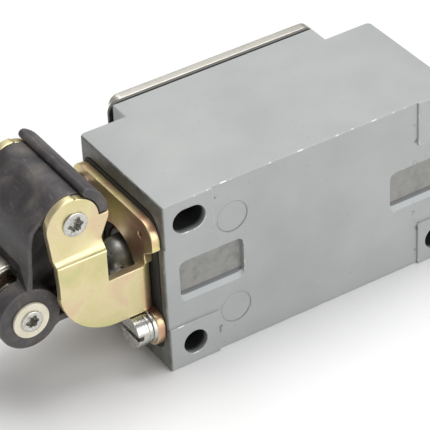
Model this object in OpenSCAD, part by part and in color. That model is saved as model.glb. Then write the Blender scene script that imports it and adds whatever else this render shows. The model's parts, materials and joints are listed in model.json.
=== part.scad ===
// Roller lever limit switch in a cast metal housing.
// X runs along the housing, from the lever head (-X) to the cable entry (+X).
// Y rises from the mounting face to the cover, and Z is the width.
// The origin is the centre of the four mounting holes, on the mounting face.

/* [Housing] */
// Distance between the mounting holes along the housing
hole_dx = 60; // [50:1:72]
// Width of the housing
body_w = 40; // [33:0.5:48]
// From a side face to the nearest row of mounting holes
hole_edge = 5; // [4.6:0.1:5.5]
// From the mounting holes to the head end
head_gap = 6; // [5.5:0.1:8]
// From the mounting holes to the cable end
cable_gap = 4.4; // [4.2:0.1:8]
// Depth of the housing at its two ends
end_depth = 31; // [28:0.5:37.5]
// How far the middle stands above the ends
rise = 5; // [4:0.5:8]
// Wall beside the cavity
wall = 2.5; // [2:0.1:3]
// Floor under the cavity
floor_t = 3.5; // [3:0.1:4.5]
// Radius of the mounting holes
hole_r = 2.7; // [2.2:0.05:3]
// Extra length of the two slotted mounting holes
slot_extra = 2; // [0.5:0.1:3]
// Height of the four mounting pads
pad_h = 0.5; // [0.2:0.1:1]
// Minor radius of the cable entry thread
entry_r = 9.2; // [7:0.1:9.6]

/* [Cover] */
// Thickness of the cover plate
cover_t = 2.2; // [1.5:0.1:3]
// Thickness of the rubber lip under the cover
lip_t = 1.7; // [1.2:0.1:2.5]
// Radius of the cover screws
cscrew_r = 1.5; // [1.2:0.05:1.8]

/* [Bracket] */
// Sheet thickness of the bracket
sheet = 1.8; // [1.2:0.1:2.2]
// From the mounting face to the outer face of the near arm
arm_near = 3.8; // [3.4:0.1:4.5]
// How far the ears are stepped in from the arms
joggle = 1.4; // [0.8:0.1:1.8]
// Radius of the round window for the plunger
window_r = 7.45; // [7:0.05:8]
// Radius of the two bracket screws
bscrew_r = 2; // [1.5:0.05:2.2]

/* [Lever] */
// Reach of the pivot in front of the head end
pivot_reach = 15.9; // [14.5:0.1:18]
// Height of the pivot above the plunger axis
pivot_z = 20.25; // [18:0.05:24]
// Radius of the pivot pin
pivot_r = 2; // [1.6:0.05:2.4]
// Radius of the lever barrel
barrel_r = 5.6; // [5:0.05:6.2]
// Largest travel of the lever, in degrees
lever_swing = 14; // [8:1:15]

/* [Roller] */
// Radius of the roller
roller_r = 8.5; // [6.5:0.1:8.8]
// Width of the roller
roller_w = 7.4; // [5:0.1:8]
// Radius of the roller pin
axle_r = 1.9; // [1.5:0.05:2.2]

/* [Plunger] */
// Radius of the plunger
plunger_r = 4.3; // [3.6:0.1:5]
// Running clearance of everything that slides or turns
run = 0.05; // [0.03:0.01:0.1]

/* [Hidden] */
$fn = 72;

near = 0.02;                         // a fixed fit, all round
seat = 0.2;                          // gap where one moving part rests on another
half_w = body_w / 2;
hole_x = hole_dx / 2;
hole_z = half_w - hole_edge;
head_x = -hole_x - head_gap;
cable_x = hole_x + cable_gap;
front_y = end_depth + rise;
axis_y = end_depth / 2 + 0.1;        // the plunger axis, and the cable entry with it

// housing
mid_x0 = head_x + 10.7;
mid_x1 = cable_x - 11.1;
cav_x0 = head_x + 13;
cav_x1 = cable_x - 13.4;
cav_z = half_w - wall;
cav_r = 2;
corner_r = 1.2;
pad_x = hole_x - 5.6;
pad_z = hole_z - 5.2;
pocket_len = 14.8;
pocket_near = 2.5;                   // pocket end, past the mounting hole line
pocket_d = 1.2;
pocket_z0 = -3.9;
pocket_z1 = 5.1;
mark_r = 3.45;
mark_d = 0.15;
boss_r = 3.2;
boss_in = 2.8;                       // cover screw axis, in from the cavity walls
boss_x0 = cav_x0 + boss_in;
boss_x1 = cav_x1 - boss_in;
boss_z = cav_z - boss_in;
tap_depth = 9;

// head seal seat
seat_d = 0.8;
seat_y0 = 2.3;
seat_y1 = end_depth - 1.5;
seat_z = half_w - 3.5;
seal_t = 1;
plate_back = head_x + seat_d - seal_t;
plate_x = plate_back - sheet;

// cover
cover_x0 = mid_x0 + 1.1;
cover_x1 = mid_x1 + 1.5;
lip_x0 = mid_x0 - 0.35;
cover_z = half_w - 0.5;
cover_r = 2.4;
lip_y1 = front_y + lip_t;
cover_y1 = lip_y1 + cover_t;
foot_t = 0.7;                        // set-back foot of the rubber lip
foot_in = 1.2;
cscrew_head_r = 2.8;

// bracket
bscrew_y = 4.3;
bscrew_z = half_w - 10.4;
bscrew_far_y = end_depth - 4;
bscrew_head_r = 3.5;
bscrew_head_t = 2.6;
flat_r = 3.7;
flat_t = 0.8;
split_r = 3.4;
split_t = 1;
arm_far = end_depth + 0.6;
lever_y = (arm_near + arm_far) / 2;
bend_r = 1;
arm_lo = -(bscrew_z - bscrew_head_r - 0.3);
arm_hi = 5.1;
pivot_x = head_x - pivot_reach;
ear_near = arm_near + joggle;
ear_far = arm_far - joggle;
ear_r = 5.9;
ear_notch_r = barrel_r - 0.25;
shoulder_z = pivot_z - 0.1;
joggle_z0 = pivot_z - 7.9;
joggle_z1 = pivot_z - 6.8;
arm_r = 12.1;
arm_cx = pivot_x + 6.9;
arm_cz = arm_lo + arm_r;
neck_x = pivot_x + 5.6;
plate_y0 = 0.9;
plate_z0 = -(half_w - 5.4);
plate_z1 = half_w - 4.6;
plate_r = 4;
tab_r = 2.6;

// lever
lev_y0 = ear_near + sheet + seat;
lev_y1 = ear_far - sheet - seat;
rib_r = barrel_r + 2;
rib_a0 = 2;                          // from the shoulder
rib_back = 1;                        // radius of its round back
rib_a1 = 60;                         // to the centre of its round back
rol_x = pivot_x - 10.3;
rol_z = pivot_z - 19.35;
rol_slot = roller_w / 2 + 2.4;
boss_rad = 6.65;
rol_room = 1.8;
bush_t = 1;
rol_washer_r = 3.85;
pocket_depth = 3.2;
nose_r = 5.5;
nose_x = pivot_x + 5;
nose_z = -0.9;
nose_w = 7;
stroke = (pivot_z - nose_z) * sin(lever_swing) - 5 * (1 - cos(lever_swing));

// plunger
block_x0 = cav_x0 + 7;               // the contact block starts here
tip_x = nose_x + nose_r + 0.25;
dome_x = tip_x + plunger_r;
guide_r = plunger_r + 0.9;
guide_flange_r = plunger_r + 1.5;
guide_x0 = head_x - 0.2;             // flush with the front of the gasket
plunger_x1 = cav_x0 - stroke - 0.6;
stem_r = 2.6;
stem_x1 = block_x0 - stroke - 0.25;
seal_x0 = head_x + 1.2;
seal_w = 1.5;

// contact block
block_x1 = cav_x1 - 8;
block_y0 = floor_t + 2.5;
block_z = cav_z - 1.9;
ledge_w = 5.6;
cell_wall = 1;
cell_z = block_z - ledge_w - cell_wall;
ledge_y = axis_y + 1.6;
cell_y0 = axis_y - 5.2;
cell_y1 = axis_y + 6.4;
end_wall = 1.6;
lid_t = 1.6;
strip_t = 0.8;
button_t = 0.6;
button_r = 1.2;
strip_in = cell_z - 3;
button_z = strip_in + 1.4;
strip_hw = 1.6;
nc_x = block_x0 + 2.8;               // inner strip, touched at rest
nc_face = nc_x + strip_t + button_t;
bar_x = nc_face + 0.15 + button_t;
no_face = bar_x + strip_t + button_t + stroke + 0.15;
no_x = no_face + button_t;
bar_z = cell_z - 0.6;
carrier_z = strip_in - 0.6;
carrier_x0 = block_x0 + end_wall + 0.5;
carrier_x1 = no_x + 2.2;
window_x1 = bar_x + strip_t + 4.2;
window_y = 2.2;
rod_r = 1.4;
term_z = block_z - ledge_w / 2 + 0.1;
term_w = 6.4;
term_r = 1.5;
term_head_r = 2.5;
nc_term_x = nc_x + 1.4;
no_term_x = no_x + 1.8;
fix_x = block_x1 - 3.6;
earth_x = cav_x1 - 4;
earth_z = -(boss_z - boss_r - 4.1);
earth_y = floor_t + 3;

// 2D in (Y, Z), drawn out along X
module along_x(x0, x1) { translate([x0, 0, 0]) rotate([90, 0, 90]) linear_extrude(x1 - x0) children(); }
// 2D in (X, Z), drawn out along Y
module along_y(y0, y1) { translate([0, y1, 0]) rotate([90, 0, 0]) linear_extrude(y1 - y0) children(); }
// 2D in (X, Y), drawn out along Z
module along_z(z0, z1) { translate([0, 0, z0]) linear_extrude(z1 - z0) children(); }
module rod_x(x0, x1, r, y = axis_y, z = 0) {
  translate([x0, y, z]) rotate([0, 90, 0]) cylinder(h = x1 - x0, r = r);
}
module rod_y(y0, y1, r, x = 0, z = 0) {
  translate([x, y1, z]) rotate([90, 0, 0]) cylinder(h = y1 - y0, r = r);
}
module block(a, b) { translate(a) cube(b - a); }
module box2(a, b) { translate(a) square(b - a); }
module spot(x, y, r) { translate([x, y]) circle(r = r); }

// a rectangle with round corners
module round_box2(a, b, r) {
  box2([a[0] + r, a[1]], [b[0] - r, b[1]]);
  box2([a[0], a[1] + r], [b[0], b[1] - r]);
  for (x = [a[0] + r, b[0] - r]) for (y = [a[1] + r, b[1] - r]) spot(x, y, r);
}
// a slot of half-width r, whose ends are e apart, along the first axis
module slot2(x, y, r, e) {
  box2([x - e / 2, y - r], [x + e / 2, y + r]);
  for (s = [-1, 1]) spot(x + s * e / 2, y, r);
}
// a turned shape about the plunger axis, from a half profile of [radius, x] points
module turned_x(profile) {
  translate([0, axis_y, 0]) rotate([0, 90, 0]) rotate_extrude() polygon(profile);
}
// a helical spring about the plunger axis
module coil_x(x0, x1, r, wire, turns) {
  sides = 6;
  steps = 14 * turns;
  pitch = (x1 - x0 - 2 * wire) / turns;
  pts = [
    for (i = [0:steps]) let (a = 360 * i / 14, c = x0 + wire + pitch * i / 14)
      for (j = [0:sides - 1]) let (b = 360 * j / sides, q = r + wire * cos(b))
        [c + wire * sin(b), axis_y + q * cos(a), q * sin(a)]
  ];
  skin = [
    for (i = [0:steps - 1]) for (j = [0:sides - 1]) let (k = (j + 1) % sides)
      [i * sides + j, (i + 1) * sides + j, (i + 1) * sides + k, i * sides + k]
  ];
  start = [for (j = [0:sides - 1]) j];
  end = [for (j = [sides - 1:-1:0]) steps * sides + j];
  polyhedron(points = pts, faces = concat(skin, [start], [end]), convexity = 6);
}
// a slotted cheese-head screw pointing along +X, its head's underside at x
module cheese_screw_x(x, y, z, r, head_r, head_t, len) {
  difference() {
    union() {
      rod_x(x - head_t, x, head_r, y, z);
      rod_x(x, x + len, r, y, z);
    }
    block([x - head_t - 1, y - head_r - 1, z - 0.5], [x - head_t + 1.2, y + head_r + 1, z + 0.5]);
  }
}
// a slotted cheese-head screw pointing along -Y, its head's underside at y
module cheese_screw_y(x, y, z, r, head_r, head_t, len) {
  difference() {
    union() {
      rod_y(y, y + head_t, head_r, x, z);
      rod_y(y - len, y, r, x, z);
    }
    block([x - head_r - 1, y + head_t - 1, z - 0.4], [x + head_r + 1, y + head_t + 1, z + 0.4]);
  }
}
module ring_x(x0, x1, r_out, r_in, y, z) {
  difference() {
    rod_x(x0, x1, r_out, y, z);
    rod_x(x0 - 1, x1 + 1, r_in, y, z);
  }
}
module ring_y(y0, y1, r_out, r_in, x, z) {
  difference() {
    rod_y(y0, y1, r_out, x, z);
    rod_y(y0 - 1, y1 + 1, r_in, x, z);
  }
}
module at_cover_screws() { for (x = [boss_x0, boss_x1]) for (z = [-boss_z, boss_z]) translate([x, 0, z]) children(); }
module at_bracket_screws() {
  translate([0, bscrew_y, -bscrew_z]) children();
  translate([0, bscrew_far_y, bscrew_z]) children();
}
module at_terminals() {
  for (x = [nc_term_x, no_term_x]) for (s = [-1, 1]) translate([x, 0, s * term_z]) children();
}

// ---- housing ----
module body_side() {
  box2([head_x, 0], [cable_x, end_depth - corner_r]);
  box2([head_x + corner_r, 0], [cable_x - corner_r, end_depth]);
  spot(head_x + corner_r, end_depth - corner_r, corner_r);
  spot(cable_x - corner_r, end_depth - corner_r, corner_r);
  box2([mid_x0, end_depth - 1], [mid_x1, front_y]);
}
module cavity() {
  difference() {
    along_y(floor_t, front_y + 1) round_box2([cav_x0, -cav_z], [cav_x1, cav_z], cav_r);
    at_cover_screws() rod_y(0, front_y + 2, boss_r);
    for (s = [-1, 1]) rod_y(0, block_y0, 2.9, fix_x, s * term_z);
    for (s = [-1, 1]) rod_y(0, block_y0, 2, block_x0 + 3, s * term_z);
    rod_y(0, earth_y, 3.2, earth_x, earth_z);
  }
}
module housing() {
  color("#b9bab6") difference() {
    along_z(-half_w, half_w) body_side();
    cavity();
    // the mounting face is set back between its four pads
    block([-pad_x, -1, -half_w - 1], [pad_x, pad_h, half_w + 1]);
    block([head_x - 1, -1, -pad_z], [cable_x + 1, pad_h, pad_z]);
    for (s = [-1, 1]) {
      x = s * (hole_x + pocket_near - pocket_len / 2);
      along_y(-1, pad_h + pocket_d)
        round_box2([x - pocket_len / 2, pocket_z0], [x + pocket_len / 2, pocket_z1], 1.5);
      rod_y(-1, pad_h + mark_d, mark_r, -hole_x + 10, s * (hole_z - 3.9));
      // two round holes and two slots, each pair on a diagonal
      rod_y(-1, end_depth + 1, hole_r, s * hole_x, s * hole_z);
      along_y(-1, end_depth + 1) slot2(-s * hole_x, s * hole_z, hole_r, slot_extra);
    }
    // head end: seal seat, plunger guide bore and the two tapped holes
    along_x(head_x - 1, head_x + seat_d) round_box2([seat_y0, -seat_z], [seat_y1, seat_z], 3);
    rod_x(head_x - 1, cav_x0 + 1, guide_r + near);
    at_bracket_screws() rod_x(head_x - 1, head_x + tap_depth, bscrew_r + near, 0, 0);
    // cable end
    rod_x(cav_x1 - 1, cable_x + 1, entry_r);
    // tapped holes under the cover, the contact block and the earth screw
    at_cover_screws() rod_y(front_y - 11, front_y + 1, cscrew_r + near);
    for (s = [-1, 1]) rod_y(block_y0 - 4, block_y0 + 1, term_r + near, fix_x, s * term_z);
    rod_y(earth_y - 4.5, earth_y + 1, bscrew_r + near, earth_x, earth_z);
  }
}

// ---- cover ----
module cover() {
  color("#cfccbf") difference() {
    along_y(lip_y1, cover_y1) round_box2([cover_x0, -cover_z], [cover_x1, cover_z], cover_r);
    at_cover_screws() rod_y(lip_y1 - 1, cover_y1 + 1, cscrew_r + 0.2);
    at_cover_screws() translate([0, cover_y1 + 0.01, 0]) rotate([90, 0, 0])
      cylinder(h = 1.6, r1 = cscrew_head_r + 0.1, r2 = cscrew_r + 0.2);
  }
}
module cover_screws() {
  color("#c9c9c4") at_cover_screws() difference() {
    union() {
      rod_y(front_y - 10, cover_y1 - 1.4, cscrew_r);
      translate([0, cover_y1, 0]) rotate([90, 0, 0]) cylinder(h = 1.45, r1 = cscrew_head_r, r2 = cscrew_r);
    }
    block([-0.4, cover_y1 - 0.8, -cscrew_head_r - 1], [0.4, cover_y1 + 1, cscrew_head_r + 1]);
    block([-cscrew_head_r - 1, cover_y1 - 0.8, -0.4], [cscrew_head_r + 1, cover_y1 + 1, 0.4]);
  }
}
module cover_gasket() {
  color("#35363a") difference() {
    union() {
      along_y(front_y + foot_t, lip_y1) round_box2([lip_x0, -cover_z], [cover_x1, cover_z], cover_r);
      along_y(front_y, front_y + foot_t + 0.2)
        round_box2([mid_x0 + foot_in, -cover_z + foot_in], [cover_x1 - foot_in, cover_z - foot_in], 2);
    }
    along_y(front_y - 1, lip_y1 + 1) difference() {
      round_box2([cav_x0 + 1.2, -cav_z + 1.2], [cav_x1 - 1.2, cav_z - 1.2], 1);
      for (x = [boss_x0, boss_x1]) for (z = [-boss_z, boss_z]) spot(x, z, boss_r - 0.2);
    }
    at_cover_screws() rod_y(front_y - 1, lip_y1 + 1, cscrew_r + 0.2);
  }
}

// ---- head ----
module head_gasket() {
  color("#202124") difference() {
    along_x(head_x + seat_d - seal_t, head_x + seat_d)
      round_box2([seat_y0 + 0.1, -seat_z + 0.1], [seat_y1 - 0.1, seat_z - 0.1], 2.9);
    rod_x(head_x - 2, head_x + 2, guide_flange_r + 0.2);
    at_bracket_screws() rod_x(head_x - 2, head_x + 2, bscrew_r + 0.2, 0, 0);
  }
}
module plate_outline() {
  difference() {
    round_box2([plate_y0, plate_z0], [end_depth, plate_z1], plate_r);
    box2([-1, arm_lo - 0.5], [arm_near + sheet + bend_r, arm_hi]);
    box2([arm_far - sheet - bend_r, arm_lo - 0.5], [end_depth + 2, arm_hi]);
    polygon([[-1, arm_hi - 1], [4.4, arm_hi - 1], [4.4, arm_hi + 2.3], [-1, arm_hi + 6]]);
    spot(axis_y, 0.2, window_r);
    spot(5.4, 11.5, 0.8);
    // the tab under the near arm has a round corner
    difference() {
      box2([plate_y0 - 1, arm_lo - 0.6 - tab_r], [plate_y0 + tab_r, arm_lo]);
      spot(plate_y0 + tab_r, arm_lo - 0.5 - tab_r, tab_r);
    }
  }
}
// the arm from the side: a round-ended panel, a neck with a shoulder, and the ear
module arm_outline() {
  intersection() {
    spot(arm_cx, arm_cz, arm_r);
    box2([arm_cx - arm_r, arm_lo], [arm_cx, arm_hi]);
  }
  box2([arm_cx - 0.1, arm_lo], [plate_x - bend_r, arm_hi]);
  polygon([
    [pivot_x - 4.97, arm_hi - 1], [pivot_x - 4.97, arm_hi + 2.6], [pivot_x - 5.3, joggle_z1],
    [pivot_x - ear_r - 0.1, pivot_z - 0.25], [pivot_x, pivot_z - 0.25], [pivot_x, shoulder_z],
    [pivot_x + 7.5, shoulder_z], [pivot_x + 7.4, pivot_z - 1.1], [pivot_x + 5.5, pivot_z - 5.4],
    [neck_x + 0.3, joggle_z1 - 0.2], [neck_x, joggle_z0 - 1.2], [neck_x, arm_hi - 1]
  ]);
  difference() {
    spot(pivot_x - 0.1, pivot_z - 0.25, ear_r);
    // room for the stop rib over its whole travel
    difference() {
      polygon([
        [pivot_x, shoulder_z], [pivot_x + 12, shoulder_z], [pivot_x + 12, pivot_z + 12],
        [pivot_x + 0.9, pivot_z + 12]
      ]);
      spot(pivot_x, pivot_z, ear_notch_r);
    }
  }
}
module near_arm() {
  difference() {
    intersection() {
      along_y(arm_near - 1, ear_near + sheet + 1) arm_outline();
      along_x(pivot_x - 12, plate_x) polygon([
        [arm_near, arm_lo - 5], [arm_near, joggle_z0], [ear_near, joggle_z1],
        [ear_near, pivot_z + 12], [ear_near + sheet, pivot_z + 12],
        [ear_near + sheet, joggle_z1 - 0.4], [arm_near + sheet, joggle_z0 - 0.4],
        [arm_near + sheet, arm_lo - 5]
      ]);
    }
    rod_y(arm_near - 2, ear_near + sheet + 2, pivot_r + 0.03, pivot_x, pivot_z);
  }
  along_z(arm_lo, arm_hi) difference() {
    spot(plate_x - bend_r, arm_near + sheet + bend_r, sheet + bend_r);
    spot(plate_x - bend_r, arm_near + sheet + bend_r, bend_r);
    box2([plate_x - 12, -2], [plate_x - bend_r, 20]);
    box2([plate_x - 12, arm_near + sheet + bend_r], [plate_x + 12, 20]);
  }
}
module bracket() {
  color("#d3c68a") {
    difference() {
      along_x(plate_x, plate_back) plate_outline();
      at_bracket_screws() rod_x(plate_x - 1, plate_back + 1, bscrew_r + 0.2, 0, 0);
    }
    near_arm();
    translate([0, 2 * lever_y, 0]) mirror([0, 1, 0]) near_arm();
  }
}
module flat_washers() {
  color("#c8c8c2") at_bracket_screws()
    ring_x(plate_x - flat_t, plate_x, flat_r, bscrew_r + 0.1, 0, 0);
}
module spring_washers() {
  x1 = plate_x - flat_t;
  color("#b4b4ae") at_bracket_screws() difference() {
    ring_x(x1 - split_t, x1, split_r, bscrew_r + 0.1, 0, 0);
    rotate([35, 0, 0]) block([x1 - split_t - 1, 0, -0.3], [x1 + 1, split_r + 1, 0.3]);
  }
}
module bracket_screws() {
  x1 = plate_x - flat_t - split_t;
  color("#cfcfca") at_bracket_screws()
    cheese_screw_x(x1, 0, 0, bscrew_r, bscrew_head_r, bscrew_head_t, head_x + tap_depth - 0.8 - x1);
}
module pivot_pin() {
  color("#c6c4bd") difference() {
    union() {
      rod_y(ear_near - 0.45, ear_near, pivot_r + 0.65, pivot_x, pivot_z);
      rod_y(ear_near - 0.1, ear_far + 1.6, pivot_r, pivot_x, pivot_z);
    }
    rod_y(ear_near - 1, ear_near + 1.2, pivot_r - 0.4, pivot_x, pivot_z);
    ring_y(ear_far + 0.1, ear_far + 0.8, pivot_r + 1, pivot_r - 0.4, pivot_x, pivot_z);
  }
}
module pivot_clip() {
  color("#8b8b88") difference() {
    ring_y(ear_far + 0.15, ear_far + 0.75, pivot_r + 1.7, pivot_r - 0.35, pivot_x, pivot_z);
    block([pivot_x, ear_far, pivot_z - 1.2], [pivot_x + 5, ear_far + 1, pivot_z + 1.2]);
  }
}

// ---- lever ----
module lever_outline() {
  spot(pivot_x, pivot_z, barrel_r);
  spot(rol_x, rol_z, boss_rad);
  polygon([
    [pivot_x - 3, pivot_z + 4.7], [pivot_x - 6.2, pivot_z + 1.95], [pivot_x - 8.5, pivot_z + 0.15],
    [pivot_x - 9.3, pivot_z - 3.25], [pivot_x - 9.6, pivot_z - 8.95], [rol_x, rol_z + boss_rad],
    [rol_x - 0.1, rol_z], [rol_x + 2.7, rol_z - 6.06], [rol_x + 4.3, rol_z - 4.6], [rol_x + 6.2, rol_z - 3.5],
    [pivot_x + 0.6, rol_z - 3.4], [pivot_x + 2.4, rol_z + 1], [pivot_x + 2.6, rol_z + 7],
    [pivot_x + 4.6, pivot_z - 3.2], [pivot_x, pivot_z]
  ]);
}
module side_pocket_outline() {
  difference() {
    polygon([
      [pivot_x - 6.2, pivot_z + 0.9], [pivot_x - 7.7, pivot_z - 0.4], [pivot_x - 8.4, pivot_z - 3.4],
      [pivot_x - 8.7, pivot_z - 9], [pivot_x - 9.2, pivot_z - 14.5], [rol_x + 4.3, rol_z - 1.2],
      [rol_x + 6.4, rol_z - 1.9], [pivot_x - 0.8, rol_z - 1.8], [pivot_x + 1, rol_z + 2],
      [pivot_x + 1.2, pivot_z - 10], [pivot_x + 2.2, pivot_z - 5]
    ]);
    spot(pivot_x, pivot_z, barrel_r);
    spot(rol_x, rol_z, boss_rad);
  }
}
module lever() {
  color("#3c3b3f") difference() {
    union() {
      along_y(lev_y0, lev_y1) lever_outline();
      // stop rib, which rests on the shoulders of both arms and has a round back
      along_y(ear_near, ear_far) {
        difference() {
          spot(pivot_x, pivot_z, rib_r);
          spot(pivot_x, pivot_z, barrel_r - 0.05);
          rotate_about_pivot(rib_a0) box2([-12, -12], [12, 0]);
          rotate_about_pivot(rib_a1) box2([-12, 0], [12, 12]);
        }
        rotate_about_pivot(rib_a1) spot(barrel_r + rib_back, 0, rib_back);
      }
      // nose that presses the plunger
      along_y(axis_y - nose_w / 2, axis_y + nose_w / 2) {
        spot(nose_x, nose_z, nose_r);
        polygon([
          [pivot_x, rol_z - 3.4], [nose_x, nose_z - nose_r + 1.2], [nose_x + 3.4, nose_z + 4.3],
          [pivot_x + 2.4, rol_z + 9]
        ]);
      }
    }
    for (y = [lev_y0 - 1, lev_y1 - pocket_depth]) along_y(y, y + pocket_depth + 1) side_pocket_outline();
    // slot for the roller
    along_y(lever_y - rol_slot, lever_y + rol_slot) spot(rol_x, rol_z, roller_r + rol_room);
    rod_y(lev_y0 - 1, lev_y1 + 1, pivot_r + run + bush_t + near, pivot_x, pivot_z);
    rod_y(lev_y0 - 1, lev_y1 + 1, axle_r + near, rol_x, rol_z);
  }
}
module rotate_about_pivot(a) { translate([pivot_x, pivot_z]) rotate(a) children(); }
module pivot_bush() {
  color("#b08d57")
    ring_y(lev_y0, lev_y1, pivot_r + run + bush_t, pivot_r + run, pivot_x, pivot_z);
}
module roller() {
  r_in = axle_r + run + bush_t + near;
  y0 = lever_y - roller_w / 2;
  y1 = lever_y + roller_w / 2;
  color("#c4bfb2") translate([rol_x, 0, rol_z]) difference() {
    rotate([-90, 0, 0]) rotate_extrude() polygon([
      [r_in, y0], [4.4, y0], [4.4, y0 + 0.5], [6.6, y0 + 0.5], [6.6, y0], [roller_r - 0.5, y0],
      [roller_r, y0 + 0.5], [roller_r, y1 - 0.5], [roller_r - 0.5, y1], [6.6, y1],
      [6.6, y1 - 0.5], [4.4, y1 - 0.5], [4.4, y1], [r_in, y1]
    ]);
  }
}
module roller_bush() {
  color("#a98550") ring_y(lever_y - rol_slot + seat, lever_y + rol_slot - seat,
    axle_r + run + bush_t, axle_r + run, rol_x, rol_z);
}
module roller_pin() {
  color("#cbc9c2") difference() {
    union() {
      rod_y(lev_y0 - 1.05, lev_y0 - 0.6, axle_r + 0.4, rol_x, rol_z);
      rod_y(lev_y0 - 0.7, lev_y1 + 0.7, axle_r, rol_x, rol_z);
      rod_y(lev_y1 + 0.6, lev_y1 + 1.05, axle_r + 0.4, rol_x, rol_z);
    }
    rod_y(lev_y0 - 2, lev_y0 + 0.6, axle_r - 0.5, rol_x, rol_z);
  }
}
module roller_pin_washers() {
  color("#e2ddcb") {
    ring_y(lev_y0 - 0.6, lev_y0, rol_washer_r, axle_r + near, rol_x, rol_z);
    ring_y(lev_y1, lev_y1 + 0.6, rol_washer_r, axle_r + near, rol_x, rol_z);
  }
}

// ---- plunger ----
module plunger() {
  dome = [for (a = [0:6:90]) [plunger_r * sin(a), dome_x - plunger_r * cos(a)]];
  color("#8e8f8c") turned_x(concat(dome, [
    [plunger_r, plunger_x1], [stem_r, plunger_x1], [stem_r, stem_x1], [0, stem_x1]
  ]));
}
module plunger_guide() {
  color("#2a2a2c") turned_x([
    [plunger_r + run, guide_x0], [guide_flange_r - 0.4, guide_x0], [guide_flange_r, guide_x0 + 0.4],
    [guide_flange_r, head_x + seat_d], [guide_r, head_x + seat_d], [guide_r, cav_x0],
    [plunger_r + run, cav_x0], [plunger_r + run, seal_x0 + seal_w], [guide_r - 0.3, seal_x0 + seal_w],
    [guide_r - 0.3, seal_x0], [plunger_r + run, seal_x0]
  ]);
}
module plunger_seal() {
  color("#1d1d1f") turned_x([
    [plunger_r + run, seal_x0 + near], [guide_r - 0.3 - near, seal_x0 + near],
    [guide_r - 0.3 - near, seal_x0 + seal_w - near], [plunger_r + run, seal_x0 + seal_w - near]
  ]);
}
module plunger_spring() {
  color("#9d9d9a") coil_x(plunger_x1 + 0.1, block_x0 - 0.1, plunger_r - 0.7, 0.35, 6);
}
module push_rod() { color("#d8d2c0") rod_x(stem_x1 + 0.1, carrier_x0, rod_r); }

// ---- contact block ----
module contact_carrier() {
  color("#e6e2d6") difference() {
    block([carrier_x0, axis_y - 3.4, -carrier_z], [carrier_x1, axis_y + 3.4, carrier_z]);
    block([bar_x, axis_y - window_y, -carrier_z - 1], [window_x1, axis_y + window_y, carrier_z + 1]);
    rod_x(carrier_x1 - 1.5, carrier_x1 + 1, 2.6);
  }
}
module contact_bridge() {
  color("#b87333") {
    block([bar_x, axis_y - 1.5, -bar_z], [bar_x + strip_t, axis_y + 1.5, bar_z]);
    for (s = [-1, 1]) rod_x(bar_x - button_t, bar_x + strip_t + button_t, button_r, axis_y, s * button_z);
  }
}
module contact_spring() { color("#9d9d9a") coil_x(bar_x + strip_t + 0.05, window_x1 - 0.05, 1.2, 0.22, 5); }
module return_spring() { color("#9d9d9a") coil_x(carrier_x1 - 1.4, block_x1 - end_wall - 0.1, 2.1, 0.3, 7); }
module strip_slots(gap) {
  for (x = [nc_x, no_x]) for (s = [-1, 1])
    block([x - gap, axis_y - strip_hw - gap, s > 0 ? strip_in - gap : -block_z + ledge_w - 0.1],
          [x + strip_t + gap, ledge_y + strip_t + gap, s > 0 ? block_z - ledge_w + 0.1 : -strip_in + gap]);
}
module contact_block_base() {
  color("#26272a") difference() {
    union() {
      block([block_x0, block_y0, -block_z], [block_x1, ledge_y, block_z]);
      block([block_x0, ledge_y - 1, -cell_z - cell_wall], [block_x1, cell_y1, cell_z + cell_wall]);
    }
    block([block_x0 + end_wall, cell_y0, -cell_z], [block_x1 - end_wall, cell_y1 + 1, cell_z]);
    rod_x(block_x0 - 1, block_x0 + end_wall + 1, rod_r + run);
    strip_slots(0.05);
    at_terminals() rod_y(ledge_y - 6, ledge_y + 1, term_r + near);
    for (s = [-1, 1]) rod_y(block_y0 - 1, ledge_y + 1, term_r + 0.1, fix_x, s * term_z);
  }
}
module contact_block_cover() {
  color("#d9d4c4") difference() {
    block([block_x0, cell_y1, -cell_z - cell_wall], [block_x1, cell_y1 + lid_t, cell_z + cell_wall]);
    block([bar_x - 1.5, cell_y1 - 1, -2], [bar_x + stroke + 2, cell_y1 + lid_t + 1, 2]);
  }
}
// one contact strip per side: a button inside the cell, and a terminal plate on the ledge
module contact_strips(x, term_x, button_dir) {
  for (s = [-1, 1]) mirror([0, 0, s > 0 ? 0 : 1]) difference() {
    union() {
      block([x, axis_y - strip_hw, strip_in], [x + strip_t, ledge_y + strip_t, block_z - ledge_w - 0.03]);
      block([term_x - term_w / 2, ledge_y, block_z - ledge_w + 0.03],
            [term_x + term_w / 2, ledge_y + strip_t, block_z - 0.1]);
      block([x, ledge_y, block_z - ledge_w - 0.5], [x + strip_t, ledge_y + strip_t, block_z - ledge_w + 0.5]);
      rod_x(button_dir > 0 ? x + strip_t - 0.1 : x - button_t, button_dir > 0 ? x + strip_t + button_t : x + 0.1,
            button_r, axis_y, button_z);
    }
    rod_y(ledge_y - 1, ledge_y + 2, term_r + near, term_x, term_z);
  }
}
module closed_contacts() { color("#c8a24a") contact_strips(nc_x, nc_term_x, 1); }
module open_contacts() { color("#c8a24a") contact_strips(no_x, no_term_x, -1); }
module terminal_clamps() {
  y0 = ledge_y + strip_t;
  color("#c6c6c0") at_terminals() difference() {
    block([-2.6, y0, -2.45], [2.6, y0 + 0.9, 2.45]);
    rod_y(y0 - 1, y0 + 2, term_r + 0.1);
  }
}
module terminal_screws() {
  color("#cfcfca") at_terminals()
    cheese_screw_y(0, ledge_y + strip_t + 0.9, 0, term_r, term_head_r, 1.8, strip_t + 0.9 + 5.5);
}
module block_screws() {
  color("#cfcfca") for (s = [-1, 1])
    cheese_screw_y(fix_x, ledge_y, s * term_z, term_r, term_head_r, 1.8, ledge_y - block_y0 + 3.6);
}
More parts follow.
